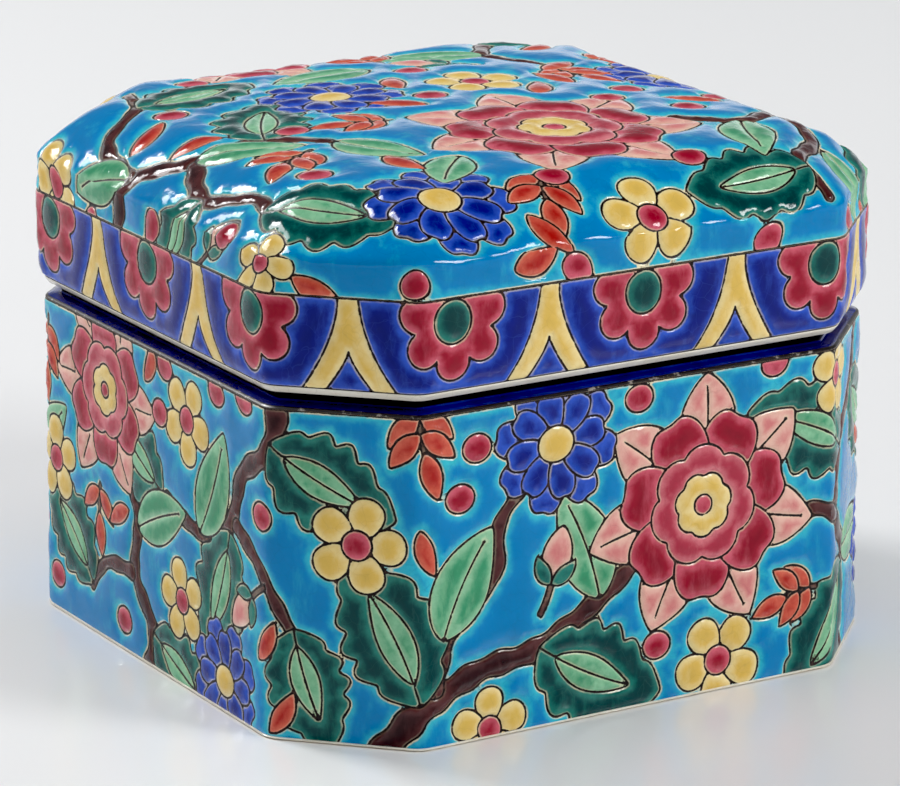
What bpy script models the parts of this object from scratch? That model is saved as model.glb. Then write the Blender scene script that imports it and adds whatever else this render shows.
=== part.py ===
"""A square lidded box of glazed earthenware with cut corners: a hollow body with a seat and a collar
round its mouth, and a hollow lid with a rounded shoulder that lifts off.
Metres, +Z up, standing on Z = 0, centred on the Z axis, its sides square to X and Y."""

import math

import bmesh
import bpy

# Plan of the body at its upper edge
BODY_WIDTH = 0.110
CORNER_CUT = 0.0172
CORNER_ROUND = 0.0045

# Body
BODY_HEIGHT = 0.0527
FOOT_FLARE = 0.0004
BODY_WALL = 0.0070
FLOOR_THICKNESS = 0.0060
FLOOR_FILLET = 0.0025
FOOT_RING_WIDTH = 0.0070
FOOT_RECESS = 0.0012
EDGE_ROUND = 0.0006

# Mouth of the body, from outside inwards: ledge, seat, collar
LEDGE_WIDTH = 0.0030
LEDGE_RISE = 0.0006
SEAT_RISE = 0.0014
COLLAR_THICKNESS = 0.0022
COLLAR_HEIGHT = 0.0045

# Fit of the lid
SEAT_GAP = 0.0003
COLLAR_CLEARANCE = 0.0006

# Lid
LID_FOOT_INSET = 0.0010
RIM_BEVEL_HEIGHT = 0.0012
RIM_BEVEL_WIDTH = 0.0008
LID_OVERHANG = 0.0010
BAND_SWELL_HEIGHT = 0.0050
LID_SIDE_HEIGHT = 0.0200
SHOULDER_INSET = 0.0133
SHOULDER_RISE = 0.0076
SHOULDER_POWER = 1.33
CROWN_RISE = 0.0030
SOFTENING = 0.25
LID_WALL = 0.0055
LID_TOP_THICKNESS = 0.0055

# Fineness of the facets
CORNER_STEPS = 4
LONG_SIDE_STEPS = 4
SWELL_STEPS = 5
SHOULDER_STEPS = 9
CROWN_STEPS = 4
FILLET_STEPS = 3

# Levels and insets that follow from the sizes above. An inset runs inwards from the body's plan.
SEAT_LEVEL = BODY_HEIGHT + LEDGE_RISE + SEAT_RISE
COLLAR_TOP = SEAT_LEVEL + COLLAR_HEIGHT
COLLAR_INSET = BODY_WALL - COLLAR_THICKNESS
LID_FOOT_LEVEL = SEAT_LEVEL + SEAT_GAP
LID_INNER_INSET = COLLAR_INSET - COLLAR_CLEARANCE
SHOULDER_LEVEL = LID_FOOT_LEVEL + RIM_BEVEL_HEIGHT + LID_SIDE_HEIGHT
CUT_CORNER_REACH = (BODY_WIDTH - CORNER_CUT) / math.sqrt(2)
TAN_HALF_TURN = math.tan(math.radians(22.5))


def plan(inset, corner_round):
    """Points of the square with cut and rounded corners, anticlockwise, at an inset from the body's plan."""
    half = BODY_WIDTH / 2 - inset
    reach = CUT_CORNER_REACH - inset
    along = reach * math.sqrt(2) - half
    shorter_side = min(2 * along, (half - along) * math.sqrt(2))
    radius = min(corner_round, 0.48 * shorter_side / TAN_HALF_TURN)
    points = []
    for corner in range(8):
        middle_turn = math.radians(22.5 + 45 * corner)
        x, y = (half, along) if corner % 2 == 0 else (along, half)
        quarter = math.radians(90 * (corner // 2))
        corner_x = x * math.cos(quarter) - y * math.sin(quarter)
        corner_y = x * math.sin(quarter) + y * math.cos(quarter)
        back = radius / math.cos(math.radians(22.5))
        centre_x = corner_x - back * math.cos(middle_turn)
        centre_y = corner_y - back * math.sin(middle_turn)
        for step in range(CORNER_STEPS + 1):
            turn = math.radians(45 * corner + 45 * step / CORNER_STEPS)
            points.append((centre_x + radius * math.cos(turn), centre_y + radius * math.sin(turn)))
        if corner % 2 == 1:
            points += long_side_points(half, along - radius * TAN_HALF_TURN, quarter)
    return points


def long_side_points(half, reach_along, quarter):
    """Points between the ends of the long side that follows a corner, a quarter turn on from +X."""
    points = []
    for step in range(1, LONG_SIDE_STEPS):
        sideways = reach_along * (1 - 2 * step / LONG_SIDE_STEPS)
        turn = quarter + math.radians(90)
        x = half * math.cos(turn) + sideways * math.sin(turn)
        y = half * math.sin(turn) - sideways * math.cos(turn)
        points.append((x, y))
    return points


def parallel_round(inset):
    """The corner radius of a face that lies parallel to the body's outside, never quite sharp."""
    return max(CORNER_ROUND - inset, CORNER_ROUND / 3)


def ring(inset, level, added_round=0.0, shrink=1.0):
    """One level section of a piece. shrink draws it in towards the axis, and makes it rounder on the way."""
    mean_radius = (BODY_WIDTH / 2 + CUT_CORNER_REACH) / 2 - inset
    points = []
    for x, y in plan(inset, parallel_round(inset) + added_round):
        scale = shrink * (shrink + (1 - shrink) * mean_radius / math.hypot(x, y))
        points.append((scale * x, scale * y, level))
    return points


def arc(start, end, power=2.0, steps=FILLET_STEPS):
    """Pairs of inset and level from start to end, leaving start upright and reaching end level."""
    pairs = []
    for step in range(steps + 1):
        turn = math.radians(90) * step / steps
        inward = 1 - math.cos(turn) ** (2 / power)
        upward = math.sin(turn) ** (2 / power)
        pairs.append((start[0] + (end[0] - start[0]) * inward, start[1] + (end[1] - start[1]) * upward))
    return pairs


def material(name, colour, roughness):
    made = bpy.data.materials.new(name)
    made.use_nodes = True
    shader = made.node_tree.nodes["Principled BSDF"]
    shader.inputs["Base Color"].default_value = (*colour, 1.0)
    shader.inputs["Roughness"].default_value = roughness
    shader.inputs["Metallic"].default_value = 0.0
    return made


def loft(name, rings, first_level, last_level, finish, collection):
    """A closed body through the rings, closed by a fan to a point on the axis at each end."""
    body = bmesh.new()
    rows = [[body.verts.new(point) for point in points] for points in rings]
    for lower, upper in zip(rows, rows[1:]):
        for index in range(len(lower)):
            following = (index + 1) % len(lower)
            body.faces.new((lower[index], lower[following], upper[following], upper[index]))
    for row, level, turned in ((rows[0], first_level, True), (rows[-1], last_level, False)):
        middle = body.verts.new((0.0, 0.0, level))
        for index in range(len(row)):
            edge = (row[index], row[(index + 1) % len(row)])
            body.faces.new((*(reversed(edge) if turned else edge), middle))
    bmesh.ops.recalc_face_normals(body, faces=body.faces)
    mesh = bpy.data.meshes.new(name)
    body.to_mesh(mesh)
    body.free()
    mesh.shade_smooth()
    mesh.set_sharp_from_angle(angle=math.radians(30))
    mesh.materials.append(finish)
    piece = bpy.data.objects.new(name, mesh)
    collection.objects.link(piece)
    return piece


def body_rings():
    """From the recess under the foot ring, out and up the outside, over the mouth and down the inside."""
    rings = [
        ring(FOOT_RING_WIDTH, FOOT_RECESS),
        ring(FOOT_RING_WIDTH - FOOT_RECESS, 0.0),
        ring(EDGE_ROUND - FOOT_FLARE, 0.0),
        ring(EDGE_ROUND / 3 - FOOT_FLARE, EDGE_ROUND / 3),
        ring(-FOOT_FLARE, EDGE_ROUND),
    ]
    arris = arc((0.0, BODY_HEIGHT), (EDGE_ROUND, BODY_HEIGHT + EDGE_ROUND / 2))
    rings += [ring(inset, level) for inset, level in arris]
    ledge_level = BODY_HEIGHT + LEDGE_RISE
    rings += [
        ring(LEDGE_WIDTH - EDGE_ROUND / 3, ledge_level),
        ring(LEDGE_WIDTH, ledge_level + EDGE_ROUND / 3),
        ring(LEDGE_WIDTH, SEAT_LEVEL),
        ring(COLLAR_INSET, SEAT_LEVEL),
    ]
    lip = COLLAR_THICKNESS / 2
    outer_lip = arc((COLLAR_INSET, COLLAR_TOP - lip), (COLLAR_INSET + lip, COLLAR_TOP))
    inner_lip = arc((BODY_WALL, COLLAR_TOP - lip), (BODY_WALL - lip, COLLAR_TOP))[-2::-1]
    fillet = arc((BODY_WALL, FLOOR_THICKNESS + FLOOR_FILLET), (BODY_WALL + FLOOR_FILLET, FLOOR_THICKNESS))
    rings += [ring(inset, level) for inset, level in outer_lip + inner_lip + fillet]
    return rings


def crown_lift(distance_left):
    """Height of the crown's arch, given the share of the way to the middle that is left."""
    return CROWN_RISE * (1 - distance_left**2)


def shoulder_and_crown(inset, level):
    """Rings from the shoulder's foot to the middle of the top, with corners that grow rounder."""
    half = BODY_WIDTH / 2 - inset
    rings = []
    for drawn_in, lift in arc((0.0, 0.0), (SHOULDER_INSET, SHOULDER_RISE), SHOULDER_POWER, SHOULDER_STEPS):
        ring_level = level + lift + crown_lift(1 - drawn_in / half)
        rings.append(ring(inset + drawn_in, ring_level, SOFTENING * drawn_in))
    for step in range(1, CROWN_STEPS):
        shrink = 1 - step / CROWN_STEPS
        ring_level = level + SHOULDER_RISE + crown_lift(shrink * (1 - SHOULDER_INSET / half))
        rings.append(ring(inset + SHOULDER_INSET, ring_level, SOFTENING * SHOULDER_INSET, shrink))
    return rings


def lid_rings():
    """From the middle of the ceiling, down the inside, across the foot and up the outside to the crown."""
    inside_shoulder = SHOULDER_LEVEL - LID_TOP_THICKNESS
    side_inset = LID_WALL - LID_OVERHANG
    bevel_inset = LID_FOOT_INSET - RIM_BEVEL_WIDTH
    bevel_top = LID_FOOT_LEVEL + RIM_BEVEL_HEIGHT
    rings = shoulder_and_crown(side_inset, inside_shoulder)[::-1]
    rings += [
        ring(side_inset, bevel_top + BAND_SWELL_HEIGHT),
        ring(LID_INNER_INSET, bevel_top),
        ring(LID_INNER_INSET, LID_FOOT_LEVEL),
        ring(LID_FOOT_INSET, LID_FOOT_LEVEL),
    ]
    for step in range(SWELL_STEPS + 1):
        turn = math.radians(90) * step / SWELL_STEPS
        swell = (bevel_inset + LID_OVERHANG) * math.sin(turn)
        rings.append(ring(bevel_inset - swell, bevel_top + BAND_SWELL_HEIGHT * (1 - math.cos(turn))))
    rings += shoulder_and_crown(-LID_OVERHANG, SHOULDER_LEVEL)
    return rings


def clear_scene():
    for item in list(bpy.data.objects):
        bpy.data.objects.remove(item, do_unlink=True)


def main():
    clear_scene()
    collection = bpy.data.collections.new("square_lidded_box")
    bpy.context.scene.collection.children.link(collection)
    crown_level = SHOULDER_LEVEL + SHOULDER_RISE + CROWN_RISE
    turquoise = material("turquoise_glaze", (0.03, 0.33, 0.60), 0.12)
    cobalt = material("cobalt_glaze", (0.02, 0.06, 0.42), 0.12)
    loft("box_body", body_rings(), FOOT_RECESS, FLOOR_THICKNESS, turquoise, collection)
    loft("lid", lid_rings(), crown_level - LID_TOP_THICKNESS, crown_level, cobalt, collection)


main()
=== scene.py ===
"""Looks of the square lidded box: enamel cells between dark sunk lines on a glazed earthenware box.

Flat designs are drawn in millimetres as outlines in painter's order. Each is triangulated along its
visible lines, laid over the box's wall, band or lid, and sunk a little along the lines, so that every
cell of enamel swells. Lengths are millimetres until a mesh, light or camera is made from them.
"""

import math

import bmesh
import bpy
import numpy as np
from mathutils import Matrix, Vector, kdtree
from mathutils.geometry import delaunay_2d_cdt


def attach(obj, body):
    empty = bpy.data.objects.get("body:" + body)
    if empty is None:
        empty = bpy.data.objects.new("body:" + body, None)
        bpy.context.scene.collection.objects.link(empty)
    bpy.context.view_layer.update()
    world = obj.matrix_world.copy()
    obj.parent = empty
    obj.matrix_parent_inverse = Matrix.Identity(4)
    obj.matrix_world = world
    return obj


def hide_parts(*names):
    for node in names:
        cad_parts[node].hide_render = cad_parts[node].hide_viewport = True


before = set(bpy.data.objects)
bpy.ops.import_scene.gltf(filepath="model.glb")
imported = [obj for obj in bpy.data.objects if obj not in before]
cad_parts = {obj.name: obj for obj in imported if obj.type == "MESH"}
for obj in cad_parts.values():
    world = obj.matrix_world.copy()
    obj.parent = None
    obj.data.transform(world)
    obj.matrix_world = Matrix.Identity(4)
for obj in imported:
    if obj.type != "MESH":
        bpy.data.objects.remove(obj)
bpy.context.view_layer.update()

METRES = 0.001

# Plan and levels of the box, as in its solids
BODY_WIDTH = 110.0
CORNER_CUT = 17.2
CORNER_ROUND = 4.5
BODY_HEIGHT = 52.7
FOOT_FLARE = 0.4
BODY_WALL = 7.0
FLOOR_THICKNESS = 6.0
FLOOR_FILLET = 2.5
FOOT_RING_WIDTH = 7.0
FOOT_RECESS = 1.2
EDGE_ROUND = 0.6
LEDGE_WIDTH = 3.0
LEDGE_RISE = 0.6
SEAT_RISE = 1.4
COLLAR_THICKNESS = 2.2
COLLAR_HEIGHT = 4.5
SEAT_GAP = 0.3
COLLAR_CLEARANCE = 0.6
LID_FOOT_INSET = 1.0
RIM_BEVEL_HEIGHT = 1.2
RIM_BEVEL_WIDTH = 0.8
LID_OVERHANG = 1.0
BAND_SWELL_HEIGHT = 5.0
LID_SIDE_HEIGHT = 20.0
SHOULDER_INSET = 13.3
SHOULDER_RISE = 7.6
SHOULDER_POWER = 1.33
CROWN_RISE = 3.0
SOFTENING = 0.25
LID_WALL = 5.5
LID_TOP_THICKNESS = 5.5

SEAT_LEVEL = BODY_HEIGHT + LEDGE_RISE + SEAT_RISE
COLLAR_TOP = SEAT_LEVEL + COLLAR_HEIGHT
COLLAR_INSET = BODY_WALL - COLLAR_THICKNESS
LID_FOOT_LEVEL = SEAT_LEVEL + SEAT_GAP
LID_INNER_INSET = COLLAR_INSET - COLLAR_CLEARANCE
BEVEL_TOP = LID_FOOT_LEVEL + RIM_BEVEL_HEIGHT
BEVEL_INSET = LID_FOOT_INSET - RIM_BEVEL_WIDTH
SHOULDER_LEVEL = BEVEL_TOP + LID_SIDE_HEIGHT
CUT_CORNER_REACH = (BODY_WIDTH - CORNER_CUT) / math.sqrt(2)
TAN_HALF_TURN = math.tan(math.radians(22.5))

# How finely the form is divided: a ring's corners and sides, and the lid's sides, shoulder and crown
CORNER_STEPS = 8
SIDE_STEPS = 6
LID_SIDE_ROWS = 12
TOP_STEPS = 120
TOP_RING_STEP = 9
CEILING_STEPS = (14, 8)

# A corner's rounding takes up at most this share of a side at each of its ends
ROUNDED_SHARE = 0.48

# The painted border round the lid's side ends at this level. It repeats this often round the lid, and
# its first flower hangs this far along it.
BAND_TOP = 70.7
BAND_REPEATS = 12
BAND_FIRST_FLOWER = 18.0

# Drawing
CURVE_STEP = 0.4
AXIS_POINTS = 60
BODY_SMALL_LEAF = 8.0
BODY_BERRY = 4.6
LID_SMALL_LEAF = 10.0
LID_BERRY = 5.2

# Enamel. A swell is how deep the cells' edges lie and how far the slope reaches into them.
FOOT_LINE_LEVEL = 0.45
ARRIS_LINE_LEVEL = 52.5
LINE_SPACING = 0.55
LINE_HALF_WIDTH = 0.19
LINE_BLUR = 0.04
LINE_DEPTH = 0.28
LINE_REACH = 0.42
ON_LINE = 0.02
HALO_WIDTH = 0.32
WALL_SWELL = (0.42, 1.9)
TOP_SWELL = (0.72, 2.8)
BORDER_SHARE = 0.25
BORDER_REACH = 1.2
SAMPLE_SPACING = 0.12
RAIL_OFFSETS = (0.22, 0.60)
RAIL_TO_FIELD = 0.4
FIELD_PITCH = 1.25
BACK_PITCH = 2.5
ENAMEL_THICKNESS = 1.5
ENAMEL_SEAT = 1.25
MARGIN = 2.5

# The lid's surface is searched by halving, and its slope is felt out by a small move inwards and a turn
HALVINGS = 26
NUDGE = 0.05
NUDGE_TURN = NUDGE / 50.0

# The photograph's camera
CAMERA_AZIMUTH = -30.9
CAMERA_ELEVATION = 16.2
CAMERA_DISTANCE = 758.0
CAMERA_TARGET = (0.07, -0.04, 37.4)
CAMERA_LENS = 185.9
CAMERA_SENSOR = 36.0


# Form of the box

def unit(turn):
    """The unit vector in a direction."""
    return np.array((math.cos(turn), math.sin(turn)))


def turned(points, turn, at=(0.0, 0.0)):
    """Points turned about the origin, in radians, and then moved."""
    cosine, sine = math.cos(turn), math.sin(turn)
    points = np.asarray(points, float)
    x = points[:, 0] * cosine - points[:, 1] * sine + at[0]
    y = points[:, 0] * sine + points[:, 1] * cosine + at[1]
    return np.column_stack((x, y))


def plan_sizes(inset):
    """How far a side and a cut corner are from the axis at an inset, and half a side's length."""
    half = BODY_WIDTH / 2 - inset
    reach = CUT_CORNER_REACH - inset
    return half, reach, reach * math.sqrt(2) - half


def mean_radius(inset):
    return (BODY_WIDTH / 2 + CUT_CORNER_REACH) / 2 - inset


def parallel_round(inset):
    return np.maximum(CORNER_ROUND - inset, CORNER_ROUND / 3)


def corner_radius(half, along, wanted):
    """The wanted rounding of the plan's corners, or less where the sides are too short for it."""
    shorter_side = np.minimum(2 * along, (half - along) * math.sqrt(2))
    return np.minimum(wanted, ROUNDED_SHARE * shorter_side / TAN_HALF_TURN)


def plan(inset, corner_round):
    """Points of the square with cut and rounded corners, anticlockwise, at an inset from the body's plan."""
    half, _, along = plan_sizes(inset)
    radius = corner_radius(half, along, corner_round)
    back = radius / math.cos(math.radians(22.5))
    points = []
    for corner in range(8):
        local = (half, along) if corner % 2 == 0 else (along, half)
        corner_point = turned([local], math.radians(90 * (corner // 2)))[0]
        centre = corner_point - back * unit(math.radians(22.5 + 45 * corner))
        for step in range(CORNER_STEPS + 1):
            points.append(centre + radius * unit(math.radians(45 * corner + 45 * step / CORNER_STEPS)))
        if corner % 2 == 1:
            side_half = along - radius * TAN_HALF_TURN
            for step in range(1, SIDE_STEPS):
                sideways = side_half * (1 - 2 * step / SIDE_STEPS)
                points.append(turned([(half, -sideways)], math.radians(90 * (corner // 2 + 1)))[0])
    return np.array(points)


def ring(inset, level, added_round=0.0, shrink=1.0):
    """One level section, as in the solids. shrink draws it in towards the axis and makes it rounder."""
    flat = plan(inset, parallel_round(inset) + added_round)
    scale = shrink * (shrink + (1 - shrink) * mean_radius(inset) / np.hypot(*flat.T))
    return np.column_stack((flat * scale[:, None], np.full(len(flat), level)))


def ring_radius(rows, direction):
    """Distance from the axis to the ring of each row, in a direction. A row begins as ring's values do."""
    inset, _, added, shrink = rows[:, :4].T
    half, reach, along = plan_sizes(inset)
    rounding = corner_radius(half, along, parallel_round(inset) + added)
    turn = np.mod(direction, math.pi / 2)
    turn = np.minimum(turn, math.pi / 2 - turn)
    centre_x = half - rounding
    centre_y = along - rounding * TAN_HALF_TURN
    slant = rounding * math.sqrt(0.5)
    first = np.arctan2(centre_y, half)
    last = np.arctan2(centre_y + slant, centre_x + slant)
    ahead = centre_x * np.cos(turn) + centre_y * np.sin(turn)
    under = np.maximum(ahead**2 - centre_x**2 - centre_y**2 + rounding**2, 0)
    on_corner = ahead + np.sqrt(under)
    on_side = half / np.cos(turn)
    on_cut = reach / np.cos(math.pi / 4 - turn)
    distance = np.where(turn < first, on_side, np.where(turn > last, on_cut, on_corner))
    return shrink * (shrink * distance + (1 - shrink) * mean_radius(inset))


def arc(start, end, power=2.0, steps=5):
    """Pairs of inset and level from start to end, leaving start upright and reaching end level."""
    pairs = []
    for step in range(steps + 1):
        turn = math.radians(90) * step / steps
        inward = 1 - math.cos(turn) ** (2 / power)
        upward = math.sin(turn) ** (2 / power)
        pairs.append((start[0] + (end[0] - start[0]) * inward, start[1] + (end[1] - start[1]) * upward))
    return pairs


def crown_lift(distance_left):
    return CROWN_RISE * (1 - distance_left**2)


def dome_rows(side_inset, shoulder_level, shoulder_steps, shrinks):
    """The values of rings up the lid's shoulder, and over its crown with the given shrinks."""
    half = BODY_WIDTH / 2 - side_inset
    rows = []
    for drawn_in, lift in arc((0, 0), (SHOULDER_INSET, SHOULDER_RISE), SHOULDER_POWER, shoulder_steps):
        level = shoulder_level + lift + crown_lift(1 - drawn_in / half)
        rows.append((side_inset + drawn_in, level, SOFTENING * drawn_in, 1.0))
    for shrink in shrinks:
        level = shoulder_level + SHOULDER_RISE + crown_lift(shrink * (1 - SHOULDER_INSET / half))
        rows.append((side_inset + SHOULDER_INSET, level, SOFTENING * SHOULDER_INSET, shrink))
    return rows


class Wall:
    """An upright side. A flat design's x runs round it from the middle of the front left corner face."""

    def __init__(self, inset, outward):
        self.half, self.reach, along = plan_sizes(inset)
        self.round = CORNER_ROUND - inset
        trimmed = self.round * TAN_HALF_TURN
        self.half_sides = ((self.half - along) / math.sqrt(2) - trimmed, along - trimmed)
        self.corner_length = self.round * math.radians(45)
        self.length = 8 * sum(self.half_sides) + 8 * self.corner_length
        self.outward = outward

    def place(self, points, lift):
        """Points in space of a flat design's points, lifted off the surface by lift."""
        x = np.mod(points[:, 0] + self.half_sides[0], self.length)
        level = points[:, 1]
        out = np.zeros((len(points), 3))
        normal = np.zeros((len(points), 2))
        start = 0.0
        for side in range(8):
            middle = math.radians(225 + 45 * side)
            facing = unit(middle)
            sideways = np.array((-facing[1], facing[0]))
            distance = (self.reach, self.half)[side % 2]
            half_side = self.half_sides[side % 2]
            on_flat = (x >= start) & (x < start + 2 * half_side)
            out[on_flat, :2] = facing * distance + sideways * (x[on_flat] - start - half_side)[:, None]
            normal[on_flat] = facing
            start += 2 * half_side
            on_corner = (x >= start) & (x <= start + self.corner_length)
            centre = facing * (distance - self.round) + sideways * half_side
            turn = middle + (x[on_corner] - start) / self.round
            normal[on_corner] = np.column_stack((np.cos(turn), np.sin(turn)))
            out[on_corner, :2] = centre + self.round * normal[on_corner]
            start += self.corner_length
        out[:, :2] += normal * (self.outward(level) + lift)[:, None]
        out[:, 2] = level
        return out


def body_outward(level):
    return FOOT_FLARE * (1 - np.clip((level - EDGE_ROUND) / (BODY_HEIGHT - EDGE_ROUND), 0, 1))


def band_outward(level):
    share = np.clip((level - BEVEL_TOP) / BAND_SWELL_HEIGHT, 0, 1)
    sine = np.sqrt(1 - (1 - share) ** 2)
    return -(BEVEL_INSET + LID_OVERHANG) * (1 - sine)


class LidTop:
    """The lid from its border's upper line over the shoulder to the middle of the crown.

    A flat design's points keep their direction from the middle, and their distance is measured along
    the surface. A row holds a ring's values, and how much longer it is to the middle along the surface."""

    def __init__(self):
        upright = np.linspace(BAND_TOP, SHOULDER_LEVEL, LID_SIDE_ROWS, endpoint=False)
        rows = [(-LID_OVERHANG, level, 0.0, 1.0) for level in upright]
        rows += dome_rows(-LID_OVERHANG, SHOULDER_LEVEL, TOP_STEPS, np.linspace(1, 0, TOP_STEPS)[1:])
        rows = np.array(rows)
        half_widths = ring_radius(rows, np.zeros(len(rows)))
        steps = np.hypot(np.diff(half_widths), np.diff(rows[:, 1]))
        stretch = np.cumsum(steps[::-1])[::-1] / half_widths[:-1]
        self.rows = np.column_stack((rows, np.append(stretch, stretch[-1])))

    def at(self, row):
        """The rows at fractional row numbers."""
        below = np.clip(row.astype(int), 0, len(self.rows) - 2)
        share = (row - below)[:, None]
        return self.rows[below] * (1 - share) + self.rows[below + 1] * share

    def on_surface(self, points):
        """Points in space of a flat design's points."""
        distance = np.hypot(points[:, 0], points[:, 1])
        direction = np.arctan2(points[:, 1], points[:, 0])
        low = np.zeros(len(points))
        high = np.full(len(points), len(self.rows) - 1.0)
        for _ in range(HALVINGS):
            middle = (low + high) / 2
            rows = self.at(middle)
            too_far = ring_radius(rows, direction) * rows[:, 4] > distance
            low = np.where(too_far, middle, low)
            high = np.where(too_far, high, middle)
        rows = self.at((low + high) / 2)
        reach = distance / np.maximum(rows[:, 4], 1e-6)
        return np.column_stack((reach * np.cos(direction), reach * np.sin(direction), rows[:, 1]))

    def place(self, points, lift):
        """Points in space of a flat design's points, lifted off the surface by lift."""
        here = self.on_surface(points)
        size = np.maximum(np.hypot(points[:, 0], points[:, 1]), 1.0)
        outward = here - self.on_surface(points * (1 - NUDGE / size)[:, None])
        around = self.on_surface(turned(points, NUDGE_TURN)) - here
        normal = np.cross(outward, around)
        size = np.linalg.norm(normal, axis=1)
        at_axis = size < 1e-9
        normal[at_axis] = (0, 0, 1)
        size[at_axis] = 1
        return here + normal / size[:, None] * np.reshape(lift, (-1, 1))

    def flat_ring(self, number):
        """The ring of a row in the flat design."""
        return ring(*self.rows[number, :4])[:, :2] * self.rows[number, 4]


# Drawing of flat shapes

def resampled(points, closed=False, step=LINE_SPACING):
    """Evenly spaced points along a line."""
    points = np.asarray(points, float)
    if closed:
        points = np.vstack((points, points[:1]))
    lengths = np.concatenate(([0.0], np.cumsum(np.hypot(*np.diff(points, axis=0).T))))
    count = max(2, math.ceil(lengths[-1] / step))
    wanted = np.linspace(0, lengths[-1], count + 1)
    x = np.interp(wanted, lengths, points[:, 0])
    y = np.interp(wanted, lengths, points[:, 1])
    line = np.column_stack((x, y))
    return line[:-1] if closed else line


def smooth(points):
    """An open Catmull-Rom curve through a few points."""
    p = np.asarray(points, float)
    p = np.vstack((2 * p[0] - p[1], p, 2 * p[-1] - p[-2]))
    t = np.linspace(0, 1, 24, endpoint=False)[:, None]
    rows = []
    for a, b, c, d in zip(p, p[1:], p[2:], p[3:]):
        bend = (2 * a - 5 * b + 4 * c - d) * t**2 + (3 * b - a - 3 * c + d) * t**3
        rows.append(0.5 * (2 * b + (c - a) * t + bend))
    rows.append(p[-2:-1])
    return resampled(np.vstack(rows), step=CURVE_STEP)


class Design:
    """Shapes in painter's order, each with its glaze, and strokes drawn on them."""

    def __init__(self, ground="turquoise"):
        self.ground = ground
        self.shapes = []
        self.strokes = []

    def fill(self, glaze_name, outline):
        self.shapes.append((glaze_name, np.asarray(outline, float)))
        return len(self.shapes) - 1

    def stroke(self, owner, line):
        self.strokes.append((owner, np.asarray(line, float)))

    def sow(self, motif, rows):
        """Draws a motif once for each row of its values."""
        for row in rows:
            motif(self, *row)


def sided(axis, half_width):
    """The closed outline of a strip about its axis, anticlockwise from its foot."""
    along = np.gradient(axis, axis=0)
    along /= np.hypot(*along.T)[:, None]
    across = np.column_stack((-along[:, 1], along[:, 0]))
    offset = across * np.broadcast_to(half_width, len(axis))[:, None]
    return resampled(np.vstack((axis - offset, (axis + offset)[::-1])), closed=True)


def bent_axis(at, heading, length, bend):
    """A line that leaves a point with a mean heading and turns evenly by bend, both in degrees."""
    share = np.linspace(0, 1, AXIS_POINTS)
    turn = np.radians(heading - bend / 2 + bend * share)
    steps = np.column_stack((np.cos(turn), np.sin(turn))) * length / (AXIS_POINTS - 1)
    return np.vstack((at, np.asarray(at) + np.cumsum(steps[:-1], axis=0)))


def blade(axis, width, fullest=0.42, sharp=1.0, lobes=0, lobe_depth=0.0, start=0.0, end=1.0):
    """A leaf or a pointed petal about an axis, widest at the share fullest of its length."""
    share = np.linspace(0, 1, len(axis))
    power = math.log(0.5) / math.log(fullest)
    local = np.clip((share - start) / (end - start), 0, 1)
    half = width / 2 * np.sin(np.pi * local**power) ** sharp
    if lobes:
        half = half * (1 - lobe_depth + 1.6 * lobe_depth * np.abs(np.sin(np.pi * lobes * local)))
    keep = (share >= start - 1e-9) & (share <= end + 1e-9)
    return sided(axis[keep], half[keep])


def part_of(axis, start, end):
    share = np.linspace(0, 1, len(axis))
    return resampled(axis[(share >= start) & (share <= end)])


def oval(at, length, width, turn=0.0):
    angle = np.linspace(0, 2 * math.pi, 72, endpoint=False)
    points = np.column_stack((length / 2 * np.cos(angle), width / 2 * np.sin(angle)))
    return resampled(turned(points, math.radians(turn), at), closed=True)


def rounded_petal(at, heading, near, far, width, notch=0.0):
    """A petal from near to far of a flower's middle, broad and round at its end."""
    angle = np.linspace(0, 2 * math.pi, 90, endpoint=False)
    length = far - near
    radial = near + length * (0.5 - 0.5 * np.cos(angle))
    share = (radial - near) / length
    half = width / 2 * np.sin(angle) * (0.62 + 0.38 * share)
    radial = radial - notch * length * np.exp(-((half / (0.16 * width)) ** 2)) * (share > 0.5)
    return resampled(turned(np.column_stack((radial, half)), math.radians(heading), at), closed=True)


def scalloped(at, radius, lobes, turn, depth=0.16):
    """A round shape whose edge swells into lobes."""
    angle = np.linspace(0, 2 * math.pi, 240, endpoint=False)
    wave = np.abs(np.cos(lobes / 2 * (angle - math.radians(turn))))
    reach = radius * (1 - depth + depth * wave**0.6)
    outline = np.column_stack((at[0] + reach * np.cos(angle), at[1] + reach * np.sin(angle)))
    return resampled(outline, closed=True)


def headings(count, turn, offset=0.0):
    """Evenly spaced headings, the first one offset by a share of the spacing."""
    return [turn + 360 * (index + offset) / count for index in range(count)]


def petal_ring(design, glaze_name, at, ways, near, far, width, notch=0.0):
    for heading in ways:
        design.fill(glaze_name, rounded_petal(at, heading, near, far, width, notch))


# Motifs

def leaf(design, at, heading, length, width, bend):
    """A lobed dark leaf that holds a pale one, parted by its midrib."""
    axis = bent_axis(at, heading, length, bend)
    dark = design.fill("bottle_green", blade(axis, width * 1.08, 0.44, 0.72, lobes=5, lobe_depth=0.16))
    pale = design.fill("mint", blade(axis, width * 0.38, 0.45, 0.9, start=0.14, end=0.76))
    design.stroke(dark, part_of(axis, 0.0, 0.14))
    design.stroke(pale, part_of(axis, 0.14, 0.76))


def plain_leaf(design, at, heading, length, width, bend):
    """A smooth pale leaf with a midrib."""
    axis = bent_axis(at, heading, length, bend)
    body = design.fill("mint", blade(axis, width, 0.42, 0.8))
    design.stroke(body, part_of(axis, 0.0, 0.86))


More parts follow.
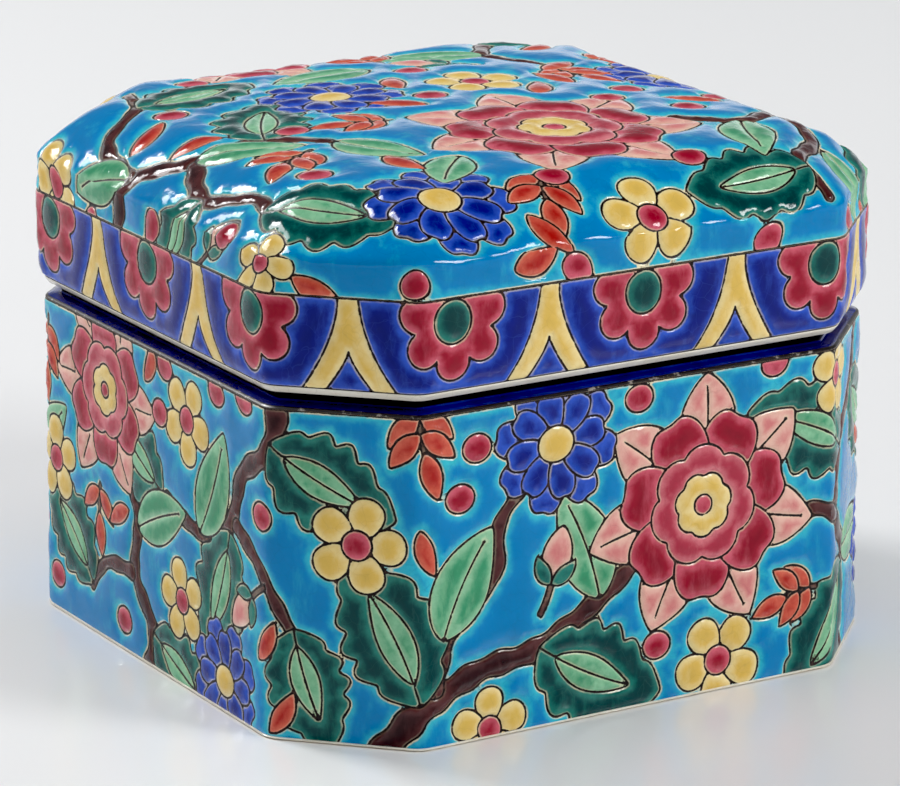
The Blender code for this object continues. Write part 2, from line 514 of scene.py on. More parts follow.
def blossom(design, at, radius, turn, petals=5):
    """A yellow flower of round petals about a round crimson heart."""
    width = radius * 1.5 * math.sin(math.pi / petals)
    petal_ring(design, "yellow", at, headings(petals, turn), radius * 0.12, radius, width)
    design.fill("crimson", oval(at, radius * 0.62, radius * 0.62))


def daisy(design, at, radius, petals, turn):
    """A blue flower of notched petals in two rows about a yellow heart."""
    behind, before = headings(petals, turn, 0.5), headings(petals, turn)
    petal_ring(design, "cobalt", at, behind, radius * 0.2, radius, radius * 0.62, 0.08)
    petal_ring(design, "cobalt", at, before, radius * 0.12, radius * 0.80, radius * 0.50, 0.06)
    design.fill("yellow", oval(at, radius * 0.56, radius * 0.50, turn))


def rosette(design, at, radius, turn, petals=7):
    """The big flower: pointed pink petals, a ring of rounded crimson ones, and two scalloped rings."""
    for heading in headings(petals, turn, 0.5):
        foot = turned([(radius * 0.3, 0)], math.radians(heading), at)[0]
        axis = bent_axis(foot, heading, radius * 0.80, 14)
        petal = design.fill("pink", blade(axis, radius * 0.52, 0.5, 0.85))
        design.stroke(petal, part_of(axis, 0.45, 0.85))
    ways = headings(petals, turn)
    petal_ring(design, "crimson", at, ways, radius * 0.1, radius * 0.82, radius * 0.64, 0.07)
    design.fill("rose", scalloped(at, radius * 0.50, petals, turn + 180 / petals))
    design.fill("yellow", scalloped(at, radius * 0.27, petals, turn))
    design.fill("crimson", oval(at, radius * 0.17, radius * 0.17))


def branch(design, points, start_width, end_width):
    """A knotty brown branch through given points."""
    axis = smooth(points)
    share = np.linspace(0, 1, len(axis))
    length = len(axis) * CURVE_STEP
    width = start_width + (end_width - start_width) * share
    width = width * (1 + 0.14 * np.sin(2 * math.pi * share * length / 6.0 + points[0][0]))
    from_end = np.clip(np.minimum(share, 1 - share) * length / (width * 0.5), 0.0, 1.0)
    width = width * np.sqrt(from_end * (2 - from_end))
    design.fill("brown", sided(axis, width / 2))


def berry(design, at, size):
    design.fill("crimson", oval(at, size * 1.12, size))


def small_leaf(design, at, heading, length):
    """A single pointed leaf that lies free on the ground."""
    design.fill("orange_red", blade(bent_axis(at, heading, length, 26), length * 0.42, 0.45, 0.8))


def bud(design, at, heading, size, glaze_name="pink"):
    """A closed flower on a short stalk, held by two green sepals."""
    stalk = bent_axis(at, heading, size * 0.7, 20)
    design.fill("brown", sided(stalk, 0.5))
    tip = bent_axis(stalk[-1], heading + 10, size * 1.25, 0)
    design.fill(glaze_name, blade(tip, size * 0.72, 0.48, 0.7))
    for side in (-1, 1):
        sepal = bent_axis(stalk[-1], heading + 10 + side * 40, size * 0.75, -30 * side)
        design.fill("bottle_green", blade(sepal, size * 0.36, 0.45, 0.85))


def sprig(design, at, heading, length, size, pairs=2):
    """Small red leaves in pairs along a thin stalk, with one at its tip."""
    axis = bent_axis(at, heading, length, 25)
    design.fill("brown", sided(axis, 0.42))
    blades = [(axis[-1], heading + 12, size * 1.1, 0)]
    for pair in range(pairs):
        place = axis[int(len(axis) * (0.25 + 0.38 * pair))]
        blades += [(place, heading + side * 48, size, -18 * side) for side in (-1, 1)]
    for place, way, reach, bend in blades:
        design.fill("orange_red", blade(bent_axis(place, way, reach, bend), reach * 0.47, 0.45, 0.85))


# Layouts. Places are millimetres: round the wall from the middle of the front left corner face, and up.

def body_design():
    design = Design()
    design.sow(branch, (
        ([(4, -3), (12, 6), (22, 11), (33, 13), (44, 19), (52, 25)], 4.6, 2.8),
        ([(14, 8), (17, 18), (25, 26), (26, 34), (31, 40)], 3.4, 1.8),
        ([(97, -3), (93, 8), (97, 17), (91, 25), (94, 36), (103, 44), (106, 56)], 4.2, 2.6),
        ([(92, 24), (84, 27), (78, 25)], 3.0, 1.8),
        ([(-10, 56), (-12, 46), (-20, 40), (-24, 31), (-34, 27), (-46, 30)], 3.8, 2.2),
        ([(-23, 32), (-14, 26), (-8, 17)], 3.0, 1.8),
        ([(-52, -3), (-50, 6), (-56, 14), (-55, 24), (-60, 32)], 3.8, 2.2),
        ([(-56, 14), (-66, 13), (-72, 7)], 2.8, 1.6),
        ([(-96, 56), (-92, 44), (-97, 34), (-92, 22), (-97, 10)], 3.6, 2.0),
        ([(126, -3), (130, 8), (140, 14), (150, 16), (160, 24), (166, 34)], 4.2, 2.4),
        ([(200, 56), (198, 46), (204, 36), (200, 26), (206, 16)], 3.8, 2.0),
        ([(228, -3), (232, 8), (242, 14), (250, 24)], 4.2, 2.6),
        ([(283, 56), (281, 46), (273, 40), (269, 30)], 3.6, 2.0),
    ))
    design.sow(leaf, (
        ((33, 13), -26, 25, 15, 22), ((12, 7), 118, 26, 15, 24), ((79, 26), 152, 20, 12, -18),
        ((94, 35), 158, 25, 14, 22), ((96, 16), -132, 26, 15, -22), ((-8, 18), -72, 20, 12, 18),
        ((-12, 47), -28, 23, 13.5, 20), ((-46, 30), 150, 22, 13, -20), ((-24, 30), -112, 25, 14, -18),
        ((-71, 8), 140, 22, 13, 20), ((-50, 6), -18, 21, 12, 18), ((103, 44), -42, 23, 13, 20),
        ((140, 14), 84, 24, 14, 20), ((150, 16), -22, 24, 14, 20), ((166, 33), 34, 23, 13, -18),
        ((203, 36), 164, 23, 13.5, 20), ((200, 26), -28, 24, 14, 18), ((242, 14), -26, 24, 14, 20),
        ((231, 7), 124, 24, 14, 20), ((273, 40), -160, 22, 13, -20), ((269, 31), -62, 23, 13, 18),
    ))
    design.sow(plain_leaf, (
        ((16, 17), 62, 19, 10, -22), ((44, 19), 112, 20, 10, 22), ((-34, 27), 66, 20, 10, 20),
        ((-55, 22), 22, 18, 9, -16), ((-92, 24), 44, 17, 8, -16), ((97, 17), 8, 17, 8.5, 18),
        ((131, 9), 128, 18, 9, -16), ((158, 22), 112, 18, 9, 20), ((281, 46), -20, 18, 9, 20),
    ))
    design.sow(rosette, (((63, 31), 19.5, 12), ((-66, 42), 16, 30, 6), ((248, 35), 16, 0, 6)))
    design.sow(daisy, (
        ((36, 45), 11.5, 8, 10), ((-26, 5), 10.5, 8, 0), ((116, 14), 10, 8, 20), ((186, 44), 10, 8, 0),
        ((222, 45), 10, 8, 10),
    ))
    design.sow(blossom, (
        ((2, 32), 7.8, 0), ((66, 5), 8, 50), ((24, 1.5), 6.8, 18), ((90, 48), 7.0, 10), ((-38, 44), 7.4, 60),
        ((-84, 26), 7.4, 20), ((-40, 14), 7.0, 30), ((-104, 34), 7.0, 30), ((152, 42), 7.6, 0),
        ((180, 14), 7.6, 30), ((122, 44), 7.2, 10), ((195, 9), 7.2, 0), ((270, 8), 7.4, 20),
        ((214, 22), 7.0, 40),
    ))
    design.sow(sprig, (
        ((85, 14), -172, 6, 6.5), ((12, 55), -84, 8, 7.5), ((-86, 50), -100, 8, 7),
        ((172, 24), -60, 8, 7), ((262, 50), -60, 6, 7), ((-68, 26), -96, 5, 7, 1),
    ))
    design.sow(bud, (
        ((33, 18), 66, 7.5), ((-13, 24), -146, 7), ((138, 34), 60, 7), ((215, 2), 70, 7), ((190, 22), 110, 7),
    ))
    for at, heading in (
        ((-52, 47), 62), ((12, 35), -70), ((-58, 24), -150), ((-12, 1), 60), ((-15, 12), 60),
        ((108, 34), -30), ((133, 22), 100), ((186, 32), 20), ((226, 30), 100), ((276, 14), 60),
    ):
        small_leaf(design, at, heading, BODY_SMALL_LEAF)
    for at in (
        (54.5, 9.5), (22, 46.5), (51, 50), (-60, 5), (-28, 51), (-47, 43), (-84, 6), (76, 52), (19, 39),
        (-14, 35), (-19, 52), (-90, 15), (-45, 51), (126, 28), (172, 5), (146, 5), (136, 48), (212, 14),
        (184, 22), (262, 19), (284, 24), (166, 48), (128, 36), (239, 52), (160, 50), (206, 52),
    ):
        berry(design, at, BODY_BERRY)
    return design


def lid_design():
    """The design of the lid's top, in millimetres along its surface from the middle of the crown."""
    design = Design()
    design.sow(branch, (
        ([(70, -30), (56, -32), (46, -26), (36, -30), (26, -24)], 4.4, 2.6),
        ([(46, -27), (44, -40), (36, -48), (38, -58)], 3.4, 2.0),
        ([(-70, 10), (-56, 8), (-48, -2), (-36, -4), (-28, -12)], 4.2, 2.4),
        ([(-48, -2), (-54, -14), (-50, -26), (-54, -36)], 3.4, 1.8),
        ([(30, 70), (26, 56), (32, 44), (26, 32), (30, 20)], 3.8, 2.2),
        ([(-56, 8), (-52, 22), (-42, 28), (-38, 40)], 3.2, 1.8),
    ))
    design.sow(leaf, (
        ((46, -26), 52, 26, 15, 20), ((56, -32), -74, 25, 15, -18), ((37, -50), -176, 25, 14, -20),
        ((31, 43), 12, 25, 14, 20), ((-36, -4), 58, 24, 14, -22), ((-52, -30), -50, 24, 14, 18),
        ((-42, 28), 12, 24, 14, 20), ((-54, -14), 172, 20, 12, 20),
    ))
    design.sow(plain_leaf, (
        ((26, 32), 160, 20, 10, 20), ((-48, -2), -30, 18, 9, 16), ((36, -30), -110, 18, 9, 20),
        ((-56, 9), 110, 18, 9, 16), ((26, 57), -150, 19, 9, 20), ((-28, -12), -64, 17, 8.5, 18),
    ))
    design.sow(rosette, (((6, -22), 22, 8, 7), ((-12, 50), 16, 20, 6)))
    design.sow(daisy, (((-29, -46), 12.5, 8, 10), ((46, 6), 13, 9, 0), ((-14, 14), 12.5, 8, 0)))
    design.sow(blossom, (
        ((4, -56), 8.6, 20), ((61, -9), 8, 0), ((12, 12), 8.2, 10), ((-42, 52), 8, 30), ((54, 36), 8, 0),
        ((-62, 34), 8, 20), ((-60, -40), 6.5, 10),
    ))
    design.sow(sprig, (
        ((-9, -42), -112, 8, 8), ((-33, -14), -150, 8, 8), ((40, 22), 10, 8, 8), ((-32, 66), -60, 6, 8),
        ((30, 18), -80, 8, 8), ((-14, -6), 160, 6, 7.5), ((8, 36), 100, 8, 8),
    ))
    design.sow(plain_leaf, (
        ((3, 31), -172, 20, 10, 18), ((-16, -30), -130, 15, 8, 18), ((45, -42), -60, 16, 8, 18),
        ((44, 52), 60, 17, 8.5, -18),
    ))
    design.sow(bud, (
        ((-66, -20), -40, 7), ((20, 24), 130, 8), ((-52, 40), 70, 8), ((58, 14), 80, 8, "rose"),
    ))
    for at, heading in (
        ((-4, 0), 140), ((16, -1), 60), ((26, 4), 100), ((-26, -24), -80), ((42, -16), 150), ((-42, 41), 100),
        ((2, 22), -110), ((36, 20), -150), ((-24, -62), 20), ((62, -56), 130), ((-17, -52), -60),
        ((16, 66), -10), ((-40, 2), 170), ((-52, 14), 20), ((34, 33), 30), ((66, 24), 110), ((-58, -46), -70),
    ):
        small_leaf(design, at, heading, LID_SMALL_LEAF)
    for at in (
        (-12, -63), (27, -63), (-43, -61), (-62, -3), (32, -3), (-26, 39), (65, 14), (11, 64), (-40, 20),
        (8, 26), (-40, -27), (48, -58), (-58, -27), (-66, 20), (25, -8), (0, 6), (38, 60), (-58, 46),
        (34, -18), (17, -44), (-8, -44), (44, -12), (-30, -2),
    ):
        berry(design, at, LID_BERRY)
    return design


def band_design(wall):
    """The border: blue arches, each with a hanging crimson flower, between forked yellow stems."""
    design = Design("cobalt")
    pitch = wall.length / BAND_REPEATS
    for index in range(BAND_REPEATS):
        flower = BAND_FIRST_FLOWER + index * pitch
        design.fill("yellow", fork_outline(flower + pitch / 2))
        hang = (flower, BAND_TOP - 3.6)
        design.fill("crimson", scalloped(hang, 9.2, 7, -90, 0.32))
        design.fill("bottle_green", oval(hang, 6.4, 7.0))
    return design


def fork_outline(middle):
    """An upside-down Y from the border's upper line to its foot."""
    height = BAND_TOP - BEVEL_TOP
    stem, foot, gap, apex = 1.6, 7.4, 3.7, 6.2
    share = np.linspace(0, 1, 30)
    outer = np.column_stack((stem + (foot - stem) * share**1.8, BAND_TOP - height * share))
    rise = np.linspace(0, 1, 12)
    inner = np.column_stack((gap * (1 - rise) ** 1.3, BEVEL_TOP + apex * rise))
    right = np.vstack((outer, inner))
    left = right[::-1] * (-1, 1)
    return resampled(np.vstack((right, left[1:])) + (middle, 0), closed=True)


# Enamel

def inside(points, outline):
    """Which points lie within a closed outline."""
    result = np.zeros(len(points), bool)
    low, high = outline.min(axis=0), outline.max(axis=0)
    near = np.flatnonzero(np.all((points >= low) & (points <= high), axis=1))
    for block in np.array_split(near, max(1, len(near) // 4000)):
        x, y = points[block, 0][:, None], points[block, 1][:, None]
        x0, y0 = outline[:, 0], outline[:, 1]
        x1, y1 = np.roll(x0, -1), np.roll(y0, -1)
        crosses = (y0 > y) != (y1 > y)
        with np.errstate(divide="ignore", invalid="ignore"):
            at = (x1 - x0) * (y - y0) / (y1 - y0) + x0
        result[block] = np.count_nonzero(crosses & (x < at), axis=1) % 2 == 1
    return result


def top_shapes(points, shapes):
    """The number of the uppermost shape over each point, or -1 for the ground."""
    top = np.full(len(points), -1)
    for number, (_, outline) in enumerate(shapes):
        top[inside(points, outline)] = number
    return top


def triangulated(points, edges):
    """Blender's constrained Delaunay triangulation, as arrays."""
    points = [Vector(point) for point in points]
    verts, out_edges, faces, _, origins, _ = delaunay_2d_cdt(points, edges, [], 0, 1e-5, True)
    verts = np.array([tuple(vert) for vert in verts])
    return verts, np.array(out_edges), np.array(faces), origins


def loop_edges(count, start):
    return [(start + i, start + (i + 1) % count) for i in range(count)]


def directed_edges(faces):
    return np.concatenate((faces[:, [0, 1]], faces[:, [1, 2]], faces[:, [2, 0]]))


def edge_sides(edges, faces, count):
    """The two triangles beside each edge, or -1."""
    def keys_of(ends):
        return ends.min(axis=1).astype(np.int64) * count + ends.max(axis=1)

    keys = keys_of(directed_edges(faces))
    order = np.argsort(keys, kind="stable")
    keys, owner = keys[order], np.tile(np.arange(len(faces)), 3)[order]
    first, last = (np.searchsorted(keys, keys_of(edges), end) for end in ("left", "right"))
    return [np.where(last > at, owner[np.minimum(at, len(owner) - 1)], -1) for at in (first, first + 1)]


def visible_lines(shapes, strokes):
    """Points and edges of every line of the design that shows."""
    points, edges, owners = [], [], []
    for _, outline in shapes:
        edges += loop_edges(len(outline), len(points))
        owners += [-1] * len(outline)
        points += list(outline)
    for owner, line in strokes:
        edges += loop_edges(len(line), len(points))[:-1]
        owners += [owner] * (len(line) - 1)
        points += list(line)
    verts, out_edges, faces, origins = triangulated(points, edges)
    top = top_shapes(verts[faces].mean(axis=1), shapes)
    one, two = (np.where(side >= 0, top[side], -1) for side in edge_sides(out_edges, faces, len(verts)))
    shown = one != two
    for number, origin in enumerate(origins):
        if not shown[number] and one[number] >= 0:
            shown[number] = any(owners[edge] == one[number] for edge in origin)
    return verts, out_edges[shown]


def search_tree(points):
    tree = kdtree.KDTree(len(points))
    for number, (x, y) in enumerate(points):
        tree.insert((x, y, 0.0), number)
    tree.balance()
    return tree


def line_tree(points, edges):
    """A search tree over dense points along the lines."""
    samples = []
    for a, b in edges:
        start, end = points[a], points[b]
        count = max(1, math.ceil(math.hypot(*(end - start)) / SAMPLE_SPACING))
        samples.append(start + (end - start) * (np.arange(count)[:, None] / count))
    return search_tree(np.vstack(samples))


def distances(points, tree):
    return np.array([tree.find((x, y, 0.0))[2] for x, y in points])


def hexagonal(low, high, pitch):
    """Points of a hexagonal grid over a rectangle."""
    rows = np.arange(low[1], high[1] + pitch, pitch * math.sqrt(0.75))
    columns = np.arange(low[0], high[0] + pitch, pitch)
    shifts = (np.arange(len(rows)) % 2) * pitch / 2
    x = (columns[None, :] + shifts[:, None]).ravel()
    return np.column_stack((x, np.repeat(rows, len(columns))))


def support_points(points, edges, tree, low, high):
    """Points beside the lines and between them, which carry the swell of the cells."""
    start, end = points[edges[:, 0]], points[edges[:, 1]]
    span = end - start
    length = np.maximum(np.hypot(*span.T), 1e-9)[:, None]
    normal = np.column_stack((-span[:, 1], span[:, 0])) / length
    middle = (start + end) / 2
    rails = []
    for offset in RAIL_OFFSETS:
        beside = np.vstack((middle + normal * offset, middle - normal * offset))
        beside = beside[np.all((beside > low) & (beside < high), axis=1)]
        beside = beside[distances(beside, tree) > offset * 0.9]
        _, first = np.unique(np.round(beside / (0.6 * LINE_SPACING)), axis=0, return_index=True)
        rails.append(beside[np.sort(first)])
    field = hexagonal(low, high, FIELD_PITCH)
    field = field[distances(field, tree) > RAIL_OFFSETS[-1] + RAIL_TO_FIELD]
    return np.vstack(rails + [field])


def sunk(distance, border_distance, swell):
    """Depth of the surface, given the distances to the nearest line and to the skin's border lines."""
    depth, reach = swell
    groove = LINE_DEPTH * np.exp(-((distance / LINE_REACH) ** 1.5))
    near_border = (1 - BORDER_SHARE) * np.exp(-((border_distance / BORDER_REACH) ** 2))
    return -groove - depth * (1 - near_border) * np.exp(-distance / reach)


def vertex_normals(points, faces):
    corners = points[faces]
    face_normals = np.cross(corners[:, 1] - corners[:, 0], corners[:, 2] - corners[:, 0])
    normals = np.zeros_like(points)
    for corner in range(3):
        np.add.at(normals, faces[:, corner], face_normals)
    return normals / np.maximum(np.linalg.norm(normals, axis=1), 1e-12)[:, None]


def joined(points, edges, lines):
    """Points and edges with further open lines added."""
    for line in lines:
        steps = np.arange(len(line) - 1) + len(points)
        points = np.vstack((points, line))
        edges = np.vstack((edges, np.column_stack((steps, steps + 1))))
    return points, edges


def drawn_near(design, low, high, period):
    """The shapes and strokes of a design that reach into a rectangle, where it repeats at a period."""
    shifts = (0,) if period is None else (-period, 0, period)
    shapes, strokes, place_of = [], [], {}
    for number, (glaze_name, shape) in enumerate(design.shapes):
        for shift in shifts:
            moved = shape + (shift, 0)
            if np.all(moved.max(axis=0) > low) and np.all(moved.min(axis=0) < high):
                place_of[number, shift] = len(shapes)
                shapes.append((glaze_name, moved))
    for owner, line in design.strokes:
        for shift in shifts:
            if (owner, shift) in place_of:
                strokes.append((place_of[owner, shift], line + (shift, 0)))
    return shapes, strokes


def enamel(name, design, surface, outline, ruled, margin, swell, period=None):
    """A closed skin of enamel over one part of a surface, with a glaze for each shape of the design.

    outline bounds the part. ruled holds the lines along its border, each with whether it is drawn dark.
    The design carries on past the outline by the margin, so that neighbouring skins meet evenly."""
    low, high = outline.min(axis=0) - margin, outline.max(axis=0) + margin
    shapes, strokes = drawn_near(design, low - 1, high + 1, period)
    points, edges = visible_lines(shapes, strokes)
    near = np.all((points[edges] > low - 1) & (points[edges] < high + 1), axis=(1, 2))
    used, edges = np.unique(edges[near], return_inverse=True)
    dark = joined(points[used], edges.reshape(-1, 2), [line for line, is_dark in ruled if is_dark])
    border = joined(np.zeros((0, 2)), np.zeros((0, 2), int), [line for line, _ in ruled])
    points, edges = joined(*dark, [line for line, is_dark in ruled if not is_dark])
    tree = line_tree(points, edges)
    support = support_points(points, edges, tree, low, high)
    every_edge = [tuple(map(int, edge)) for edge in edges]
    every_edge += loop_edges(len(outline), len(points) + len(support))
    verts, _, faces, _ = triangulated(np.vstack((points, support, outline)), every_edge)
    centres = verts[faces].mean(axis=1)
    within = np.all((centres > low) & (centres < high), axis=1) if margin else inside(centres, outline)
    faces, centres = faces[within], centres[within]
    depth = sunk(distances(verts, tree), distances(verts, line_tree(*border)), swell)
    placed = surface.place(verts, depth)
    normals = vertex_normals(placed, faces)
    line_distance = distances(verts, line_tree(*dark))
    line_distance[line_distance < ON_LINE] = 0.0
    kept = inside(centres, outline)
    top = top_shapes(centres[kept], shapes)
    glaze_names = [design.ground if number < 0 else shapes[number][0] for number in top]
    arrays = (verts, line_distance, placed, normals)
    return closed_skin(name, surface, outline, faces[kept], glaze_names, arrays)


def closed_skin(name, surface, outline, faces, glaze_names, arrays):
    """The mesh object of a skin, with a plain back and narrow sides.

    arrays holds each vertex's place in the flat design, distance to a line, place in space and normal."""
    used, faces = np.unique(faces, return_inverse=True)
    faces = faces.reshape(-1, 3)
    flat, line_distance, placed, normals = (array[used] for array in arrays)
    known = {(int(a), int(b)) for a, b in directed_edges(faces)}
    rim = sorted((a, b) for a, b in known if (b, a) not in known)
    rim_points = sorted({point for edge in rim for point in edge})
    rim_number = {point: index for index, point in enumerate(rim_points)}
    rim_edges = [(rim_number[a], rim_number[b]) for a, b in rim]
    back_verts, back_faces = skin_back(flat[rim_points], rim_edges, outline)
    back_placed = surface.place(back_verts, np.full(len(back_verts), -ENAMEL_THICKNESS))
    count = len(flat)
    polygons = [tuple(map(int, face)) for face in faces]
    polygons += [(b, a, count + rim_number[a], count + rim_number[b]) for a, b in rim]
    polygons += [tuple(int(v) + count for v in reversed(face)) for face in back_faces]
    finishes = glaze_names + ["clay"] * (len(polygons) - len(glaze_names))
    mesh = painted_mesh(name, np.vstack((placed, back_placed)), polygons, finishes)
    attribute = mesh.attributes.new("line_distance", "FLOAT", "POINT")
    line_distance = np.concatenate((line_distance, np.ones(len(back_verts))))
    attribute.data.foreach_set("value", line_distance.astype(np.float32))
    unwrap(mesh, np.vstack((flat, back_verts)), 3 * len(faces), outline)
    mesh.shade_smooth()
    mesh.update()
    custom = np.vstack((normals, np.zeros((len(back_verts), 3))))
    mesh.normals_split_custom_set_from_vertices([tuple(n) for n in custom])
    mesh.validate()
    return linked(name, mesh)


def skin_back(rim, rim_edges, outline):
    """Vertices and triangles of a skin's back, which starts with the points of its rim."""
    grid = hexagonal(outline.min(axis=0), outline.max(axis=0), BACK_PITCH)
    grid = grid[inside(grid, outline)]
    grid = grid[distances(grid, search_tree(rim)) > BACK_PITCH * 0.4]
    verts, _, faces, _ = triangulated(np.vstack((rim, grid)), rim_edges)
    return verts, faces[inside(verts[faces].mean(axis=1), outline)]


def unwrap(mesh, flat, front_corners, outline):
    """The map for baked textures: the front takes up nearly all of it, the back and sides a low strip."""
    low, high = outline.min(axis=0), outline.max(axis=0)
    corners = np.empty(len(mesh.loops), np.int32)
    mesh.loops.foreach_get("vertex_index", corners)
    uv = ((flat[corners] - low) / (high - low)).astype(np.float32)
    uv[:front_corners, 1] = 0.04 + 0.96 * uv[:front_corners, 1]
    uv[front_corners:, 1] = 0.02 * uv[front_corners:, 1]
    layer = mesh.uv_layers.new(name="OFBake")
    layer.data.foreach_set("uv", uv.ravel())


def painted_mesh(name, points, polygons, finishes):
    """A mesh with the named finish on each of its polygons."""
    mesh = bpy.data.meshes.new(name)
    mesh.from_pydata([tuple(point) for point in points * METRES], [], polygons)
    names = sorted(set(finishes))
    for finish in names:
        mesh.materials.append(materials[finish])
    slots = [names.index(finish) for finish in finishes]
    mesh.polygons.foreach_set("material_index", np.array(slots, np.int32))
    return mesh


def linked(name, data):
    """A new object in the scene that shows the data."""
    made = bpy.data.objects.new(name, data)
    bpy.context.scene.collection.objects.link(made)
    return made


def wall_skins(names, design, wall, low, high, low_is_dark):
    """Four skins round a wall, each from one rounded corner to the next but one."""
    quarter = wall.length / 4
    first = -wall.half_sides[0] - wall.corner_length / 2
    skins = []
    for index, name in enumerate(names):
        start = first + quarter * index
        end = start + quarter
        corners = [(start, low), (end, low), (end, high), (start, high)]
        outline = np.vstack([resampled(side)[:-1] for side in zip(corners, corners[1:] + corners[:1])])
        reach = (start - MARGIN - 1, end + MARGIN + 1)
        low_line, high_line = (resampled([(reach[0], level), (reach[1], level)]) for level in (low, high))
        ruled = [(low_line, low_is_dark), (high_line, True)]
        skins.append(enamel(name, design, wall, outline, ruled, MARGIN, WALL_SWELL, wall.length))
    return skins


def top_skin(top):
    outline = resampled(top.flat_ring(0), closed=True)
    rule = np.vstack((outline, outline[:1]))
    return enamel("lid_enamel_top", lid_design(), top, outline, [(rule, True)], 0.0, TOP_SWELL)


# Shells under the enamel

def shell(name, rings, finishes, first_level, last_level):
    """A closed shell through the rings. finishes names the finish of each strip between two rings."""
    count = len(rings[0])
    last = count * (len(rings) - 1)
    middle = count * len(rings)
    polygons, chosen = [], []
    for row in range(len(rings) - 1):
        for here, there in loop_edges(count, row * count):
            polygons.append((here, there, there + count, here + count))
            chosen.append(finishes[row])
    for here, there in loop_edges(count, 0):
        polygons += [(there, here, middle), (last + here, last + there, middle + 1)]
        chosen += [finishes[0], finishes[-1]]
    points = np.vstack(rings + [[(0.0, 0.0, first_level), (0.0, 0.0, last_level)]])
    mesh = painted_mesh(name, points, polygons, chosen)
    body = bmesh.new()
    body.from_mesh(mesh)
    bmesh.ops.recalc_face_normals(body, faces=body.faces)
    body.to_mesh(mesh)
    body.free()
    mesh.shade_smooth()
    mesh.set_sharp_from_angle(angle=math.radians(38))
    return linked(name, mesh)


def body_shell():
    """The body from the recess under its foot, up the outside, over the mouth and down the inside."""
    rows = [
        (FOOT_RING_WIDTH, FOOT_RECESS, "ivory"),
        (FOOT_RING_WIDTH - FOOT_RECESS, 0.0, "clay"),
        (EDGE_ROUND - FOOT_FLARE, 0.0, "clay"),
        (EDGE_ROUND / 3 - FOOT_FLARE, EDGE_ROUND / 3, "cream"),
        (0.16 - FOOT_FLARE, FOOT_LINE_LEVEL - 0.08, "cream"),
        (0.36 - FOOT_FLARE, FOOT_LINE_LEVEL + 0.04, "cream"),
        (ENAMEL_SEAT - FOOT_FLARE, FOOT_LINE_LEVEL + 0.3, "line"),
        (ENAMEL_SEAT, ARRIS_LINE_LEVEL - 0.1, "line"),
        (0.40, ARRIS_LINE_LEVEL + 0.02, "worn"),
        (0.34, ARRIS_LINE_LEVEL + 0.18, "worn"),
        (0.50, BODY_HEIGHT + 0.17, "worn"),
        (0.78, BODY_HEIGHT + 0.27, "ledge"),
        (1.4, BODY_HEIGHT + 0.45, "ledge"),
        (2.2, BODY_HEIGHT + 0.55, "ledge"),
        (LEDGE_WIDTH - EDGE_ROUND / 3, BODY_HEIGHT + LEDGE_RISE, "ledge"),
        # The riser up to the seat takes the dark outline finish: partly a dark glaze line, partly painted
        # shade for the gap under the lid's rim.
        (LEDGE_WIDTH, BODY_HEIGHT + LEDGE_RISE + EDGE_ROUND / 3, "line"),
        (LEDGE_WIDTH, SEAT_LEVEL, "clay"),
        (COLLAR_INSET, SEAT_LEVEL, "ivory"),
    ]
    lip = COLLAR_THICKNESS / 2
    inner = arc((COLLAR_INSET, COLLAR_TOP - lip), (COLLAR_INSET + lip, COLLAR_TOP))
    inner += arc((BODY_WALL, COLLAR_TOP - lip), (BODY_WALL - lip, COLLAR_TOP))[-2::-1]
    inner += arc((BODY_WALL, FLOOR_THICKNESS + FLOOR_FILLET), (BODY_WALL + FLOOR_FILLET, FLOOR_THICKNESS))
    rows += [(inset, level, "ivory") for inset, level in inner]
    rings = [ring(inset, level) for inset, level, _ in rows]
    return shell("body_shell", rings, [row[2] for row in rows], FOOT_RECESS, FLOOR_THICKNESS)


def lid_shell(top):
    """The lid from the middle of its ceiling, down the inside, round the rim and up under the enamel."""
    side_inset = LID_WALL - LID_OVERHANG
    shoulder_steps, crown_steps = CEILING_STEPS
    shrinks = [1 - step / crown_steps for step in range(1, crown_steps)]
    inner = dome_rows(side_inset, SHOULDER_LEVEL - LID_TOP_THICKNESS, shoulder_steps, shrinks)
    rings = [ring(*row) for row in reversed(inner)]
    finishes = ["ivory"] * len(rings)
    rows = [
        (side_inset, BEVEL_TOP + BAND_SWELL_HEIGHT, "ivory"),
        (LID_INNER_INSET, BEVEL_TOP, "ivory"),
        (LID_INNER_INSET, LID_FOOT_LEVEL, "clay"),
        (LID_FOOT_INSET + 0.25, LID_FOOT_LEVEL, "cream"),
        (LID_FOOT_INSET, LID_FOOT_LEVEL + 0.12, "cream"),
        (BEVEL_INSET + 0.12, BEVEL_TOP - 0.22, "cream"),
        (BEVEL_INSET + 0.14, BEVEL_TOP - 0.02, "line"),
        (BEVEL_INSET + 0.55, BEVEL_TOP + 0.1, "line"),
        (0.35, BEVEL_TOP + 1.5, "line"),
        (ENAMEL_SEAT - LID_OVERHANG, BEVEL_TOP + BAND_SWELL_HEIGHT, "line"),
    ]
    rings += [ring(inset, level) for inset, level, _ in rows]
    finishes += [row[2] for row in rows]
    for number in range(0, len(top.rows) - 1, TOP_RING_STEP):
        flat = top.flat_ring(number)
        rings.append(top.place(flat, np.full(len(flat), -ENAMEL_SEAT)))
        finishes.append("line")
    crown = SHOULDER_LEVEL + SHOULDER_RISE + CROWN_RISE
    return shell("lid_shell", rings, finishes, crown - LID_TOP_THICKNESS, crown - ENAMEL_SEAT)


# Finishes

# The numbers of a mix node's two inputs and its output, for each kind of value
MIX_SOCKETS = {"RGBA": (6, 7, 2), "VECTOR": (4, 5, 1)}


